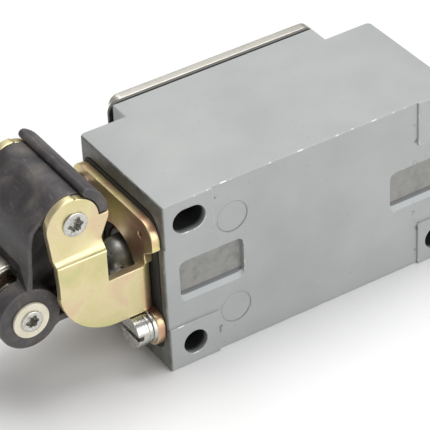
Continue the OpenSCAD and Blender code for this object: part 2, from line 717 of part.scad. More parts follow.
module earth_clamp() {
  color("#c6c6c0") difference() {
    block([earth_x - 3.1, earth_y, earth_z - 3.1], [earth_x + 3.1, earth_y + 1, earth_z + 3.1]);
    rod_y(earth_y - 1, earth_y + 2, bscrew_r + 0.1, earth_x, earth_z);
  }
}
module earth_screw() {
  color("#c7a24e") cheese_screw_y(earth_x, earth_y + 1, earth_z, bscrew_r, bscrew_head_r, 2.2, 5);
}

housing();
cover();
cover_gasket();
cover_screws();
head_gasket();
bracket();
bracket_screws();
spring_washers();
flat_washers();
pivot_pin();
pivot_clip();
lever();
pivot_bush();
roller();
roller_bush();
roller_pin();
roller_pin_washers();
plunger();
plunger_guide();
plunger_seal();
plunger_spring();
push_rod();
contact_carrier();
contact_bridge();
contact_spring();
return_spring();
contact_block_base();
contact_block_cover();
closed_contacts();
open_contacts();
terminal_clamps();
terminal_screws();
block_screws();
earth_clamp();
earth_screw();
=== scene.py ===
"""Roller lever limit switch: materials, rounded pieces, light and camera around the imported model."""
import json
from math import cos, pi, radians, sin

import bmesh
import bpy
from mathutils import Matrix, Vector

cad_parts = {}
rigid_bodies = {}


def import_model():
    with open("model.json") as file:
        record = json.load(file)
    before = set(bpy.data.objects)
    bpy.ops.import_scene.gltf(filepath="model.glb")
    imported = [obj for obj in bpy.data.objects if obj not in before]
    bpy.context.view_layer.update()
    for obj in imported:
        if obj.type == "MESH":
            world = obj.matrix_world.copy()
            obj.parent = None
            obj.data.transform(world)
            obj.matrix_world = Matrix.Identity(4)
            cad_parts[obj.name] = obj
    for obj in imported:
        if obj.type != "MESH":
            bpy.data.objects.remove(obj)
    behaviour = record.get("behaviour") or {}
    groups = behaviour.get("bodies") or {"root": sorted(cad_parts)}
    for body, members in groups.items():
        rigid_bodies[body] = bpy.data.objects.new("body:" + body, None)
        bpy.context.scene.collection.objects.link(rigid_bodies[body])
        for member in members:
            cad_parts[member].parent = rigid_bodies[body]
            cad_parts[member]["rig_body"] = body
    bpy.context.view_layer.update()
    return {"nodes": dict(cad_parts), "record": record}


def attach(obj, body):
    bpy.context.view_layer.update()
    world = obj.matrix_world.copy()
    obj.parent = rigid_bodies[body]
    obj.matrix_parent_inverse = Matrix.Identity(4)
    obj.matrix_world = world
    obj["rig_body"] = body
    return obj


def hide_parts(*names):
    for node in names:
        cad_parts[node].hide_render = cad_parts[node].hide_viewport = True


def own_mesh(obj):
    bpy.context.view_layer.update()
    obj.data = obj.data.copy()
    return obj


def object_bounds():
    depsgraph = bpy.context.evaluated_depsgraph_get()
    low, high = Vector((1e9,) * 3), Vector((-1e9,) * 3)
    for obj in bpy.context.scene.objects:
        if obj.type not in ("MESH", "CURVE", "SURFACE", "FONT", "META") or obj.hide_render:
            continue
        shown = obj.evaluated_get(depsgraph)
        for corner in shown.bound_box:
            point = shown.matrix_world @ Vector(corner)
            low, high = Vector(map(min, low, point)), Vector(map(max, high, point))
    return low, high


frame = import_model()
NODES = frame["nodes"]
SLOT_OF = {row["node"]: row["material_slot"] for row in frame["record"]["subparts"]}
MM = 0.001
scene = bpy.context.scene


# ---- sizes of the switch, in mm ----

HEAD_END = -36.0                     # the housing's end with the plunger
CABLE_END = 34.4                     # the housing's end with the cable entry
HALF_W = 20.0                        # half the housing's width
BODY_TOP = 30.9                      # just under the housing's upper face
COVER_SEAT = 35.5                    # just under the face that the cover sits on
COVER_TOP = 39.8                     # just under the cover's outer face
PAD_FACE = 0.5                       # the mounting pads stand on Y = 0, the floor between them here
AXIS_Y = 15.6                        # height of the plunger and of the cable entry
HOLE_X, HOLE_Z = 30.0, 15.0          # mounting holes and slots, from the middle
MARK_X, MARK_Z = -20.0, 11.1         # the two round moulding marks near the head
MARK_R = 3.7                         # a little more than a mark's radius
POCKET_FLOOR = 1.7
POCKET_LOW = -3.9                    # lower wall of the two floor pockets
POCKET_CORNER = 1.5                  # corner radius of those pockets
SLOPE_IN, SLOPE_OUT = 0.8, 0.7       # how far the lower wall's foot and mouth move to make it slope
THREAD_PITCH = 1.5
THREAD_MINOR = 9.2
THREAD_MAJOR = 9.95
THREAD_TURNS = 8
THREAD_LEAD_IN = 0.9
PIVOT_AXIS = (-51.9, 20.25)          # X and Z of the pivot pin
ROLLER_AXIS = (-62.2, 0.9)           # X and Z of the roller pin
ON_PLANE = 0.05                      # an edge this near an outer plane lies on it
AT_HEIGHT = 0.02                     # a corner this near a height is at it

SPRING_JOINTS = {"plunger_spring": "plunger_slide", "return_spring": "carrier_slide"}
SPRINGS = (("plunger_spring", 0.35, 6.0), ("contact_spring", 0.22, 5.0), ("return_spring", 0.3, 7.0))


# ---- camera and light ----

CAMERA_AT = Vector((-0.2308, -0.3417, 0.3055))
CAMERA_RIGHT = Vector((0.8395, -0.5418, -0.0401))
CAMERA_UP = Vector((0.3476, 0.4788, 0.8063))
CAMERA_LENS = 215.3
CAMERA_NEAR = 0.01
SENSOR_WIDTH = 36
LIGHTS_AIM = Vector((-0.01, 0.015, 0))
LIGHTS = (("soft_box_above", (0.10, 0.12, 0.55), 0.55, 3.5),
          ("soft_box_front", (0.22, -0.60, 0.22), 0.5, 2.25),
          ("strip_left", (-0.55, 0.02, 0.22), 0.3, 0.25))
STUDIO_LIGHT = 0.27


def make_camera():
    data = bpy.data.cameras.new("camera")
    data.lens = CAMERA_LENS
    data.sensor_width = SENSOR_WIDTH
    data.clip_start = CAMERA_NEAR
    obj = bpy.data.objects.new("camera", data)
    back = CAMERA_RIGHT.cross(CAMERA_UP).normalized()
    up = back.cross(CAMERA_RIGHT).normalized()
    turn = Matrix((CAMERA_RIGHT.normalized(), up, back)).transposed().to_4x4()
    obj.matrix_world = Matrix.Translation(CAMERA_AT) @ turn
    scene.collection.objects.link(obj)
    scene.camera = obj


def make_lights():
    for name, place, size, power in LIGHTS:
        data = bpy.data.lights.new(name, "AREA")
        data.size = size
        data.energy = power
        obj = bpy.data.objects.new(name, data)
        obj.location = place
        obj.rotation_euler = (LIGHTS_AIM - Vector(place)).to_track_quat("-Z", "Y").to_euler()
        scene.collection.objects.link(obj)
    world = bpy.data.worlds.new("studio")
    scene.world = world
    world.use_nodes = True
    sky = world.node_tree.nodes["Background"].inputs
    sky["Color"].default_value = (1, 1, 1, 1)
    sky["Strength"].default_value = STUDIO_LIGHT
    scene.view_settings.view_transform = "Standard"


# ---- nodes ----

NOISE, RAMP, MIX, MATH = "ShaderNodeTexNoise", "ShaderNodeValToRGB", "ShaderNodeMix", "ShaderNodeMath"
RANGE, SPLIT, JOIN = "ShaderNodeMapRange", "ShaderNodeSeparateXYZ", "ShaderNodeCombineXYZ"
MAIN_OUTPUT = {MIX: 2, "ShaderNodeTexWave": "Fac", "ShaderNodeVectorMath": "Value", "ShaderNodeTexCoord": "Object",
               "ShaderNodeAttribute": "Fac"}       # where it isn't the first
AMOUNT, UNDER, OVER = 0, 6, 7        # the inputs of a colour mix
SEEDED = {"noise_dimensions": "4D"}  # noise whose fourth coordinate is its seed


def linear(hex_colour):
    """sRGB hex to linear RGBA."""
    parts = [int(hex_colour[i:i + 2], 16) / 255 for i in (1, 3, 5)]
    return tuple(c / 12.92 if c <= 0.04045 else ((c + 0.055) / 1.055) ** 2.4 for c in parts) + (1.0,)


def add(tree, kind, inputs=None, stops=(), **settings):
    """Adds a node with its settings, its links and values, and a ramp's stops of (position, hex or grey); returns
    its main output."""
    made = tree.nodes.new(kind)
    for key, value in settings.items():
        setattr(made, key, value)
    for key, value in (inputs or {}).items():
        if isinstance(value, bpy.types.NodeSocket):
            tree.links.new(value, made.inputs[key])
        else:
            made.inputs[key].default_value = linear(value) if isinstance(value, str) else value
    if stops:
        elements = made.color_ramp.elements
        while len(elements) < len(stops):
            elements.new(0.5)
        for element, (position, colour) in zip(elements, stops):
            element.position = position
            element.color = linear(colour) if isinstance(colour, str) else (colour, colour, colour, 1)
    return made.outputs[MAIN_OUTPUT.get(kind, 0)] if made.outputs else made


def new_material(name, **shader):
    """A material with one Principled shader; returns the material, its tree, the shader and Object coordinates."""
    material = bpy.data.materials.new(name)
    material.use_nodes = True
    tree = material.node_tree
    bsdf = tree.nodes["Principled BSDF"]
    for key, value in shader.items():
        bsdf.inputs[key.replace("_", " ")].default_value = value
    return material, tree, bsdf, add(tree, "ShaderNodeTexCoord")


def lumps(place, size_mm, detail=3.0, rough=0.5, seed=0.0, distortion=0.0):
    """Inputs of a noise whose lumps are about size_mm across."""
    return {"Vector": place, "Scale": 1 / (size_mm * MM), "Detail": detail, "Roughness": rough, "W": seed,
            "Distortion": distortion}


def from_to(value, from_low, from_high, to_low=0.0, to_high=1.0):
    """Inputs that carry a value from one range to another."""
    return {"Value": value, "From Min": from_low, "From Max": from_high, "To Min": to_low, "To Max": to_high}


def patches(tree, noise, stops):
    """Patches of colour or grey, cut from a noise by its stops."""
    return add(tree, RAMP, {"Fac": add(tree, NOISE, noise, **SEEDED)}, stops)


def laid_over(tree, under, mask, strength, over):
    """One colour laid over another where the mask is 1, as thick as the strength says."""
    amount = add(tree, MATH, {0: mask, 1: strength}, operation="MULTIPLY")
    return add(tree, MIX, {AMOUNT: amount, UNDER: under, OVER: over}, data_type="RGBA")


def zone(tree, *limits, within=None):
    """1 in one region of a piece and 0 outside it. Each limit is (coordinate, low mm, high mm, softness mm)."""
    for value, low, high, soft in limits:
        for start, end, first, last in ((low - soft, low, 0.0, 1.0), (high, high + soft, 1.0, 0.0)):
            side = add(tree, RANGE, from_to(value, start * MM, end * MM, first, last))
            within = side if within is None else add(tree, MATH, {0: within, 1: side}, operation="MULTIPLY")
    return within


def worn_edges(tree):
    """1 on the rounded edges that rounded() makes, 0 elsewhere."""
    return add(tree, "ShaderNodeAttribute", attribute_name="wear")


def dress(tree, bsdf, colour, gloss, relief):
    """Gives the shader its colour, its roughness as from_to() takes it, and its relief: (height, depth mm,
    strength)."""
    height, depth_mm, strength = relief
    raised = add(tree, "ShaderNodeBump", {"Height": height, "Distance": depth_mm * MM, "Strength": strength})
    rough = add(tree, RANGE, from_to(*gloss))
    for key, source in (("Base Color", colour), ("Roughness", rough), ("Normal", raised)):
        tree.links.new(source, bsdf.inputs[key])


# ---- materials ----

def stains_and_painted_light(tree, place, paint):
    """Marks on the housing, painted light among them: the floor of the two floor pockets darker in patches, a painted
    highlight on each pocket's sloped lower wall with painted shade along its foot, the inside of the mounting holes
    painted near-black, painted shade on the head end face, and rust stains beside the pads. Limits are in mm."""
    axes = add(tree, SPLIT, {"Vector": place}).node.outputs
    x, y, z = axes["X"], axes["Y"], axes["Z"]
    x_out, z_out = (add(tree, MATH, {0: axis}, operation="ABSOLUTE") for axis in (x, z))
    # the floor of the two pockets is painted darker, in patches
    pocket_floor_darker = patches(tree, lumps(place, 2.2, 4, 0.6, 7.0), [(0.35, "#70706d"), (0.5, "#83827e"), (0.7, "#8f8c86")])
    paint = laid_over(tree, paint, zone(tree, (y, 1.3, 1.9, 0.5), (z, -3.1, 5.4, 0.2)), 0.85, pocket_floor_darker)
    # painted highlight on the sloped lower wall of a pocket, and painted shade along its foot
    along_pocket = (x_out, 17.9, 32.4, 0.3)
    painted_ledge_highlight = zone(tree, (y, 0.65, 1.3, 0.15), (z, -4.5, -3.3, 0.2), along_pocket)
    paint = laid_over(tree, paint, painted_ledge_highlight, 0.6, "#c6cbcd")
    painted_foot_shade = zone(tree, (y, 1.4, 1.8, 0.12), (z, -3.5, -2.7, 0.15), along_pocket)
    paint = laid_over(tree, paint, painted_foot_shade, 0.75, "#55565a")
    # a darker line round each of the two moulding marks near the head
    from_mark = add(tree, JOIN, {"X": add(tree, MATH, {0: x, 1: MARK_X * MM}, operation="SUBTRACT"),
                                 "Y": add(tree, MATH, {0: z_out, 1: MARK_Z * MM}, operation="SUBTRACT")})
    radius = add(tree, "ShaderNodeVectorMath", {0: from_mark}, operation="LENGTH")
    ring = zone(tree, (radius, 3.4, 3.52, 0.12), (y, 0.2, 0.75, 0.1))
    paint = laid_over(tree, paint, ring, 0.55, "#777a78")
    # each mounting hole or slot lies inside an ellipse about its centre
    shares = []
    for distance, centre, half in ((x_out, HOLE_X, 4.1), (z_out, HOLE_Z, 3.1)):
        share = distance
        for operation, amount in (("SUBTRACT", centre * MM), ("DIVIDE", half * MM), ("POWER", 2.0)):
            share = add(tree, MATH, {0: share, 1: amount}, operation=operation)
        shares.append(share)
    total = add(tree, MATH, {0: shares[0], 1: shares[1]}, operation="ADD")
    inside = add(tree, MATH, {0: total, 1: 1.0}, operation="LESS_THAN")
    # the inside of each mounting hole and slot is painted near-black
    in_hole = zone(tree, (y, 1.6, 29.5, 1.2), within=inside)
    paint = laid_over(tree, paint, in_hole, 0.93, "#1b191d")
    # painted shade on the head end face: a dark olive band, in patches
    head_end_shade = add(tree, RANGE, from_to(add(tree, NOISE, lumps(place, 3, 4, 0.6, 8.0), **SEEDED), 0.3, 0.7, 0.55, 0.9))
    paint = laid_over(tree, paint, zone(tree, (x, -36.2, -35.75, 0.2)), head_end_shade, "#47463b")
    by_pad = zone(tree, (x_out, 23.2, 24.6, 0.5), (y, 0.1, 0.7, 0.2))
    rust = patches(tree, lumps(place, 1.4, 3, 0.6, 9.0), [(0.60, 0.0), (0.66, 1.0)])
    rusty = add(tree, MATH, {0: rust, 1: 0.7}, operation="MULTIPLY")
    return laid_over(tree, paint, by_pad, rusty, "#6d5338")


def stoved_enamel():
    """Satin grey stove enamel on a zinc casting: a faint orange peel, dust nibs, and bright chips along the edges."""
    material, tree, bsdf, place = new_material("stoved_grey_enamel", IOR=1.5, Coat_Weight=0.12, Coat_Roughness=0.35)
    paint = patches(tree, lumps(place, 22, 4, 0.55, 1.0), [(0.3, "#9da09f"), (0.5, "#a6a9a8"), (0.72, "#b0b2b0")])
    # dust nibs and pinholes of about 0.3 mm, drawn a little coarse so that they show
    nibs = patches(tree, lumps(place, 0.55, 1.5, 0.5, 3.0), [(0.235, 1.0), (0.26, 0.0)])
    paint = laid_over(tree, paint, nibs, 0.55, "#5c5d5b")
    pale_nibs = patches(tree, lumps(place, 0.7, 1.5, 0.5, 4.0), [(0.76, 0.0), (0.785, 1.0)])
    paint = laid_over(tree, paint, pale_nibs, 0.35, "#e6e6e2")
    # chips lie only on the rounded edges, in patches
    worn = worn_edges(tree)
    flaking = patches(tree, lumps(place, 2.4, 4, 0.62, 5.0), [(0.555, 0.0), (0.585, 1.0)])
    chipped = add(tree, MATH, {0: worn, 1: flaking}, operation="MULTIPLY")
    paint = laid_over(tree, paint, worn, 0.10, "#cfcfca")
    paint = laid_over(tree, paint, chipped, 1.0, "#d9d8d2")
    paint = stains_and_painted_light(tree, place, paint)
    bare_metal = add(tree, MATH, {0: chipped, 1: 0.8}, operation="MULTIPLY")
    tree.links.new(bare_metal, bsdf.inputs["Metallic"])
    peel = add(tree, MATH, {0: add(tree, NOISE, lumps(place, 1.6, 2, 0.5, 6.0), **SEEDED), 1: 0.35},
               operation="MULTIPLY")
    pits = add(tree, MATH, {0: nibs, 1: 0.5}, operation="MULTIPLY")
    height = add(tree, MATH, {0: peel, 1: pits}, operation="SUBTRACT")
    fine = add(tree, NOISE, lumps(place, 1.1, 3, 0.6, 2.0), **SEEDED)
    dress(tree, bsdf, paint, (fine, 0.3, 0.7, 0.36, 0.50), (height, 0.06, 0.55))
    return material


def yellow_passivated_steel():
    """Zinc-plated steel with a yellow chromate film: straw colour that drifts to green and pink, fine grain, small
    dark stains. The plate behind the arms is the rosiest."""
    material, tree, bsdf, place = new_material("yellow_passivated_steel", Metallic=0.82)
    film = patches(tree, lumps(place, 9, 3, 0.5, 1.0, 0.6),
                   [(0.28, "#c4c58e"), (0.42, "#d6cb98"), (0.56, "#dfd2a6"), (0.68, "#dcc2a2"), (0.80, "#d2a69c")])
    along = add(tree, SPLIT, {"Vector": place}).node.outputs["X"]
    on_plate = add(tree, RANGE, from_to(along, -40.0 * MM, -38.4 * MM))
    rosy = patches(tree, lumps(place, 6, 3, 0.5, 2.0), [(0.36, "#e0d488"), (0.5, "#dcb890"), (0.64, "#c98274")])
    film = laid_over(tree, film, on_plate, 0.7, rosy)
    grain = add(tree, NOISE, lumps(place, 0.35, 2, 0.6, 3.0), **SEEDED)
    film = laid_over(tree, film, add(tree, RANGE, from_to(grain, 0.62, 0.78)), 0.45, "#8d8355")
    stain = patches(tree, lumps(place, 1.6, 4, 0.6, 4.0), [(0.70, 0.0), (0.76, 1.0)])
    film = laid_over(tree, film, stain, 0.6, "#7b6a3c")
    film = laid_over(tree, film, worn_edges(tree), 0.4, "#efe6bd")
    hazy = add(tree, NOISE, lumps(place, 3, 3, 0.6, 5.0), **SEEDED)
    dress(tree, bsdf, film, (hazy, 0.3, 0.7, 0.27, 0.42), (grain, 0.012, 0.5))
    return material


def plated_steel(name, base="#c9c8c2", dirt="#7d7868", rough=0.26, dirt_amount=0.5, patch_mm=1.8):
    """Bright metal, plated or drawn: hairline tool marks, a little grime in patches."""
    material, tree, bsdf, place = new_material(name, Metallic=1.0)
    grimy = patches(tree, lumps(place, patch_mm, 4, 0.6, 1.0), [(0.50, 0.0), (0.66, 1.0)])
    colour = laid_over(tree, base, grimy, dirt_amount, dirt)
    streak = add(tree, NOISE, lumps(place, 0.25, 2, 0.5, 2.0), **SEEDED)
    dress(tree, bsdf, colour, (streak, 0.3, 0.7, rough - 0.07, rough + 0.12), (streak, 0.006, 0.4))
    return material


def turned_roller_steel():
    """Hardened steel tyre: turning lines run round it at 0.25 mm, warm tarnish, light smears."""
    material, tree, bsdf, place = new_material("turned_roller_steel", Metallic=1.0)
    lines_per_wave = 20
    lines = add(tree, "ShaderNodeTexWave",
                {"Vector": place, "Scale": 1 / (0.25 * MM * lines_per_wave), "Distortion": 0.8, "Detail": 2.0},
                wave_type="BANDS", bands_direction="Y")
    tarnish = patches(tree, lumps(place, 5, 4, 0.6, 1.0), [(0.35, "#8f8a7c"), (0.5, "#c9c3b4"), (0.68, "#ece6d8")])
    smears = add(tree, NOISE, lumps(place, 2, 3, 0.5, 2.0), **SEEDED)
    dress(tree, bsdf, tarnish, (smears, 0.3, 0.7, 0.2, 0.38), (lines, 0.008, 0.4))
    return material


def glass_filled_nylon():
    """Black glass-filled polyamide: charcoal with grey flow clouds and pale fibre flecks, semi-matt, finely grained."""
    material, tree, bsdf, place = new_material("glass_filled_nylon", IOR=1.53)
    cloud = add(tree, NOISE, lumps(place, 5.5, 5, 0.62, 1.0, 0.5), **SEEDED)
    body = add(tree, RAMP, {"Fac": cloud}, [(0.30, "#302e2f"), (0.48, "#434041"), (0.62, "#585350"), (0.76, "#766e68")])
    flow = add(tree, "ShaderNodeMapping", {"Vector": place, "Scale": (1, 0.22, 1)})
    fibre = patches(tree, lumps(flow, 0.55, 3, 0.6, 2.0), [(0.60, 0.0), (0.72, 1.0)])
    body = laid_over(tree, body, fibre, 0.35, "#8b8580")
    body = laid_over(tree, body, worn_edges(tree), 0.22, "#7d7977")
    grain = add(tree, NOISE, lumps(place, 0.4, 3, 0.6, 3.0), **SEEDED)
    dress(tree, bsdf, body, (cloud, 0.3, 0.7, 0.46, 0.62), (grain, 0.03, 0.5))
    return material


def moulded_plastic(name, base, shade, rough):
    """Injection-moulded plastic: an even colour with faint clouding and a spark-eroded grain."""
    material, tree, bsdf, place = new_material(name, IOR=1.5)
    colour = patches(tree, lumps(place, 4, 3, 0.5, 1.0), [(0.35, shade), (0.65, base)])
    grain = add(tree, NOISE, lumps(place, 0.3, 2, 0.5, 2.0), **SEEDED)
    dress(tree, bsdf, colour, (grain, 0.3, 0.7, rough - 0.06, rough + 0.08), (grain, 0.015, 0.5))
    return material


def nitrile_rubber():
    """Nitrile rubber: dull black, with pale dust caught in a matt surface; the lip under the cover is the dustiest."""
    material, tree, bsdf, place = new_material("nitrile_rubber", IOR=1.52, Sheen_Weight=0.08)
    specks = patches(tree, lumps(place, 0.8, 4, 0.65, 1.0), [(0.60, 0.0), (0.74, 1.0)])
    height = add(tree, SPLIT, {"Vector": place}).node.outputs["Y"]
    handled = add(tree, RANGE, from_to(height, 36.8 * MM, 37.0 * MM, 0.0, 0.5))
    caught = add(tree, MATH, {0: specks, 1: 0.45}, operation="MULTIPLY")
    dusty = add(tree, MATH, {0: caught, 1: handled}, operation="ADD", use_clamp=True)
    colour = laid_over(tree, "#1b1b1d", dusty, 1.0, "#8a8680")
    skin = add(tree, NOISE, lumps(place, 0.5, 2, 0.5, 2.0), **SEEDED)
    dress(tree, bsdf, colour, (specks, 0, 1, 0.62, 0.85), (skin, 0.02, 0.5))
    return material


def greasy_plunger_steel():
    """Ground steel plunger that has been handled: a grey film that is pale in places, and black grease in patches."""
    material, tree, bsdf, place = new_material("greasy_plunger_steel", Metallic=0.75)
    film = patches(tree, lumps(place, 3.2, 5, 0.65, 1.0), [(0.30, "#6a6964"), (0.46, "#a5a49d"), (0.64, "#cfcdc4")])
    grease = patches(tree, lumps(place, 1.3, 4, 0.6, 2.0), [(0.60, 0.0), (0.65, 1.0)])
    colour = laid_over(tree, film, grease, 0.85, "#17171a")
    dress(tree, bsdf, colour, (grease, 0, 1, 0.42, 0.25), (grease, 0.03, 0.6))
    return material


MATERIALS = {
    "painted_alloy": stoved_enamel(),
    "cover_steel": plated_steel("satin_cover_steel", "#e9e6dc", "#a8a497", 0.34, 0.25, 9),
    "black_rubber": nitrile_rubber(),
    "yellow_zinc": yellow_passivated_steel(),
    "bright_steel": plated_steel("nickel_plated_steel", dirt_amount=0.4),
    "roller_steel": turned_roller_steel(),
    "black_plastic": glass_filled_nylon(),
    "plunger_steel": greasy_plunger_steel(),
    "bronze": plated_steel("sintered_bronze", "#b98d56", "#6d4d2b", 0.42, 0.6),
    "cream_plastic": moulded_plastic("natural_nylon", "#e9e3d0", "#dcd4bd", 0.42),
    "block_plastic": moulded_plastic("black_thermoset", "#242528", "#1b1c1e", 0.4),
    "contact_brass": plated_steel("stamped_brass", "#d0aa56", "#8c6a2c", 0.3, 0.4),
    "spring_steel": plated_steel("drawn_spring_wire", "#a4a4a2", "#55534e", 0.32, 0.4),
}


# ---- shapes ----

SHARP = 40                           # degrees; an edge sharper than this is rounded
WELD = 0.002                         # mm; the CAD mesh's loose corners join within this
FLAT = 0.5                           # degrees; faces this near one plane are one face
PIN_SIDES = 96
LOBES, LOBE_DEPTH = 6, 0.16          # of the pins' sockets


def new_piece(name, mesh, slot, body):
    """Puts a finished mesh in the scene, in its material, on its body."""
    obj = bpy.data.objects.new(name, mesh)
    scene.collection.objects.link(obj)
    mesh.materials.clear()
    mesh.materials.append(MATERIALS[slot])
    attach(obj, body)
    return obj


def stand_in(name, mesh, node):
    """A piece that is shown in place of a CAD node, on that node's body."""
    obj = new_piece(name, mesh, SLOT_OF[node], NODES[node]["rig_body"])
    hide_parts(node)
    return obj


def smooth_by_angle(mesh, angle):
    mesh.polygons.foreach_set("use_smooth", [True] * len(mesh.polygons))
    mesh.set_sharp_from_angle(angle=radians(angle))


def solid_copy(node):
    """The node's mesh with its loose triangles joined and its flat faces made whole."""
    bm = bmesh.new()
    bm.from_mesh(NODES[node].data)
    bmesh.ops.remove_doubles(bm, verts=bm.verts, dist=WELD * MM)
    bmesh.ops.dissolve_limit(bm, angle_limit=radians(FLAT), verts=bm.verts, edges=bm.edges)
    return bm


def flat_faces_stay_flat(mesh):
    """Weights the normals by area, so that a rounded edge does not shade the flat face beside it."""
    holder = bpy.data.objects.new(mesh.name + "_holder", mesh)
    scene.collection.objects.link(holder)
    weighted = holder.modifiers.new("weighted", "WEIGHTED_NORMAL")
    weighted.keep_sharp = True
    weighted.weight = 100
    done = bpy.data.meshes.new_from_object(holder.evaluated_get(bpy.context.evaluated_depsgraph_get()))
    bpy.data.objects.remove(holder)
    return done


def rounded(node, name, steps, before=None):
    """The CAD node with its sharp edges rounded. Each step is (radius mm, segments, test of an edge and its two
    ends); the rounded strips carry wear = 1 for the materials."""
    bm = solid_copy(node)
    if before:
        before(bm)
    worn = bm.faces.layers.float.new("wear")
    for radius, segments, test in steps:
        edges = [e for e in bm.edges if len(e.link_faces) == 2 and e.calc_face_angle(0) > radians(SHARP)
                 and test(e.verts[0].co / MM, e.verts[1].co / MM, e)]
        made = bmesh.ops.bevel(bm, geom=edges, offset=radius * MM, offset_type="OFFSET", segments=segments,
                               profile=0.5, affect="EDGES", clamp_overlap=False, harden_normals=False)
        for face in made["faces"]:
            face[worn] = 1.0
    bmesh.ops.triangulate(bm, faces=[f for f in bm.faces if len(f.verts) > 4])
    mesh = bpy.data.meshes.new(name)
    bm.to_mesh(mesh)
    bm.free()
    smooth_by_angle(mesh, 50)
    return stand_in(name, flat_faces_stay_flat(mesh), node)


def turned(node, name, profile, place):
    """A turned pin that stands in for a CAD node. The profile is (radius, distance along Y, socket or not) from the
    head to the tail; socket rings are lobed."""
    bm = bmesh.new()
    bm.faces.layers.float.new("wear")
    rings = []
    for radius, distance, socket in profile:
        if radius == 0:
            rings.append([bm.verts.new(Vector((place[0], distance, place[1])) * MM)])
            continue
        ring = []
        for i in range(PIN_SIDES):
            angle = 2 * pi * i / PIN_SIDES
            r = radius * (1 + LOBE_DEPTH * cos(LOBES * angle)) if socket else radius
            ring.append(bm.verts.new(Vector((place[0] + r * cos(angle), distance, place[1] + r * sin(angle))) * MM))
        rings.append(ring)
    for first, second in zip(rings, rings[1:]):
        for i in range(PIN_SIDES):
            j = (i + 1) % PIN_SIDES
            corners = [first[i % len(first)], first[j % len(first)], second[j % len(second)], second[i % len(second)]]
            bm.faces.new(list(dict.fromkeys(corners)))
    bmesh.ops.recalc_face_normals(bm, faces=bm.faces)
    mesh = bpy.data.meshes.new(name)
    bm.to_mesh(mesh)
    bm.free()
    smooth_by_angle(mesh, 35)
    return stand_in(name, mesh, node)


# ---- coils, made by a node tree ----

def coil_tree(name, sides):
    """A node tree that sweeps a small profile along a helix; its inputs are sizes in metres, turns and a material."""
    tree = bpy.data.node_groups.new(name, "GeometryNodeTree")
    face = tree.interface
    for label, kind, value in (("Radius", "NodeSocketFloat", 0.01), ("Length", "NodeSocketFloat", 0.01),
                               ("Turns", "NodeSocketFloat", 5.0), ("Wire", "NodeSocketFloat", 0.0005),
                               ("Start", "NodeSocketVector", (0, 0, 0)), ("Material", "NodeSocketMaterial", None)):
        socket = face.new_socket(label, in_out="INPUT", socket_type=kind)
        if value is not None:
            socket.default_value = value
    face.new_socket("Geometry", in_out="OUTPUT", socket_type="NodeSocketGeometry")
    given = add(tree, "NodeGroupInput").node.outputs
    spiral = add(tree, "GeometryNodeCurveSpiral",
                 {"Resolution": 48, "Rotations": given["Turns"], "Start Radius": given["Radius"],
                  "End Radius": given["Radius"], "Height": given["Length"]})
    profile = add(tree, "GeometryNodeCurvePrimitiveCircle", {"Resolution": sides, "Radius": given["Wire"]})
    swept = add(tree, "GeometryNodeCurveToMesh", {"Curve": spiral, "Profile Curve": profile, "Fill Caps": True})
    placed = add(tree, "GeometryNodeTransform",
                 {"Geometry": swept, "Translation": given["Start"], "Rotation": (0, pi / 2, 0)})
    smooth = add(tree, "GeometryNodeSetShadeSmooth", {"Geometry": placed})
    real = add(tree, "GeometryNodeRealizeInstances", {"Geometry": smooth})
    painted = add(tree, "GeometryNodeSetMaterial", {"Geometry": real, "Material": given["Material"]})
    add(tree, "NodeGroupOutput", {"Geometry": painted})
    return tree


def coil_mesh(tree, name, slot, **values):
    """Bakes the node tree to one mesh with the given input values."""
    maker = bpy.data.objects.new(name + "_maker", bpy.data.meshes.new(name + "_maker"))
    scene.collection.objects.link(maker)
    modifier = maker.modifiers.new("coil", "NODES")
    modifier.node_group = tree
    for item in tree.interface.items_tree:
        if item.in_out == "INPUT":
            modifier[item.identifier] = MATERIALS[slot] if item.name == "Material" else values[item.name]
    ready = maker.evaluated_get(bpy.context.evaluated_depsgraph_get())
    mesh = bpy.data.meshes.new_from_object(ready)
    mesh.name = name
    maker.modifiers.remove(modifier)
    bpy.data.objects.remove(maker)
    return mesh


def node_box(node):
    """Low and high corners of a CAD node, in mm."""
    spots = [v.co / MM for v in NODES[node].data.vertices]
    return [min(p[i] for p in spots) for i in range(3)], [max(p[i] for p in spots) for i in range(3)]


def make_springs():
    """Three springs of round wire; the two that a joint works get a mesh of their own."""
    tree = coil_tree("helical_spring", 12)
    for node, wire, turns in SPRINGS:
        low, high = node_box(node)
        length = high[0] - low[0]
        radius = (high[1] - low[1]) / 2 - wire
        mesh = coil_mesh(tree, node + "_wire", SLOT_OF[node], Radius=radius * MM, Turns=turns, Wire=wire * MM,
                         Length=(length - 2 * wire) * MM, Start=((low[0] + wire) * MM, AXIS_Y * MM, 0.0))
        obj = stand_in(node + "_wire", mesh, node)
        if node in SPRING_JOINTS:
            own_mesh(obj)


def make_thread():
    """The ridge of the cable entry thread; the bore round it is opened to the thread's major radius, and the ridge's
    root is sunk a little into the bore wall."""
    root = 0.05
    length = THREAD_PITCH * THREAD_TURNS
    mesh = coil_mesh(coil_tree("thread_ridge", 4), "cable_entry_thread", "painted_alloy",
                     Radius=(THREAD_MAJOR + root) * MM, Turns=float(THREAD_TURNS),
                     Wire=(THREAD_MAJOR - THREAD_MINOR) * MM, Length=length * MM,
                     Start=((CABLE_END - THREAD_LEAD_IN - length) * MM, AXIS_Y * MM, 0.0))
    new_piece("cable_entry_thread", mesh, "painted_alloy", NODES["housing"]["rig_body"])


# ---- which edges are rounded ----

def at_side(p):
    return abs(p.z) > HALF_W - ON_PLANE


def at_end(p):
    return p.x < HEAD_END + ON_PLANE or p.x > CABLE_END - ON_PLANE


def on_skin(p):
    """True on the outer planes of the housing, where an edge shows."""
    return at_side(p) or at_end(p) or p.y < PAD_FACE + ON_PLANE or p.y > BODY_TOP


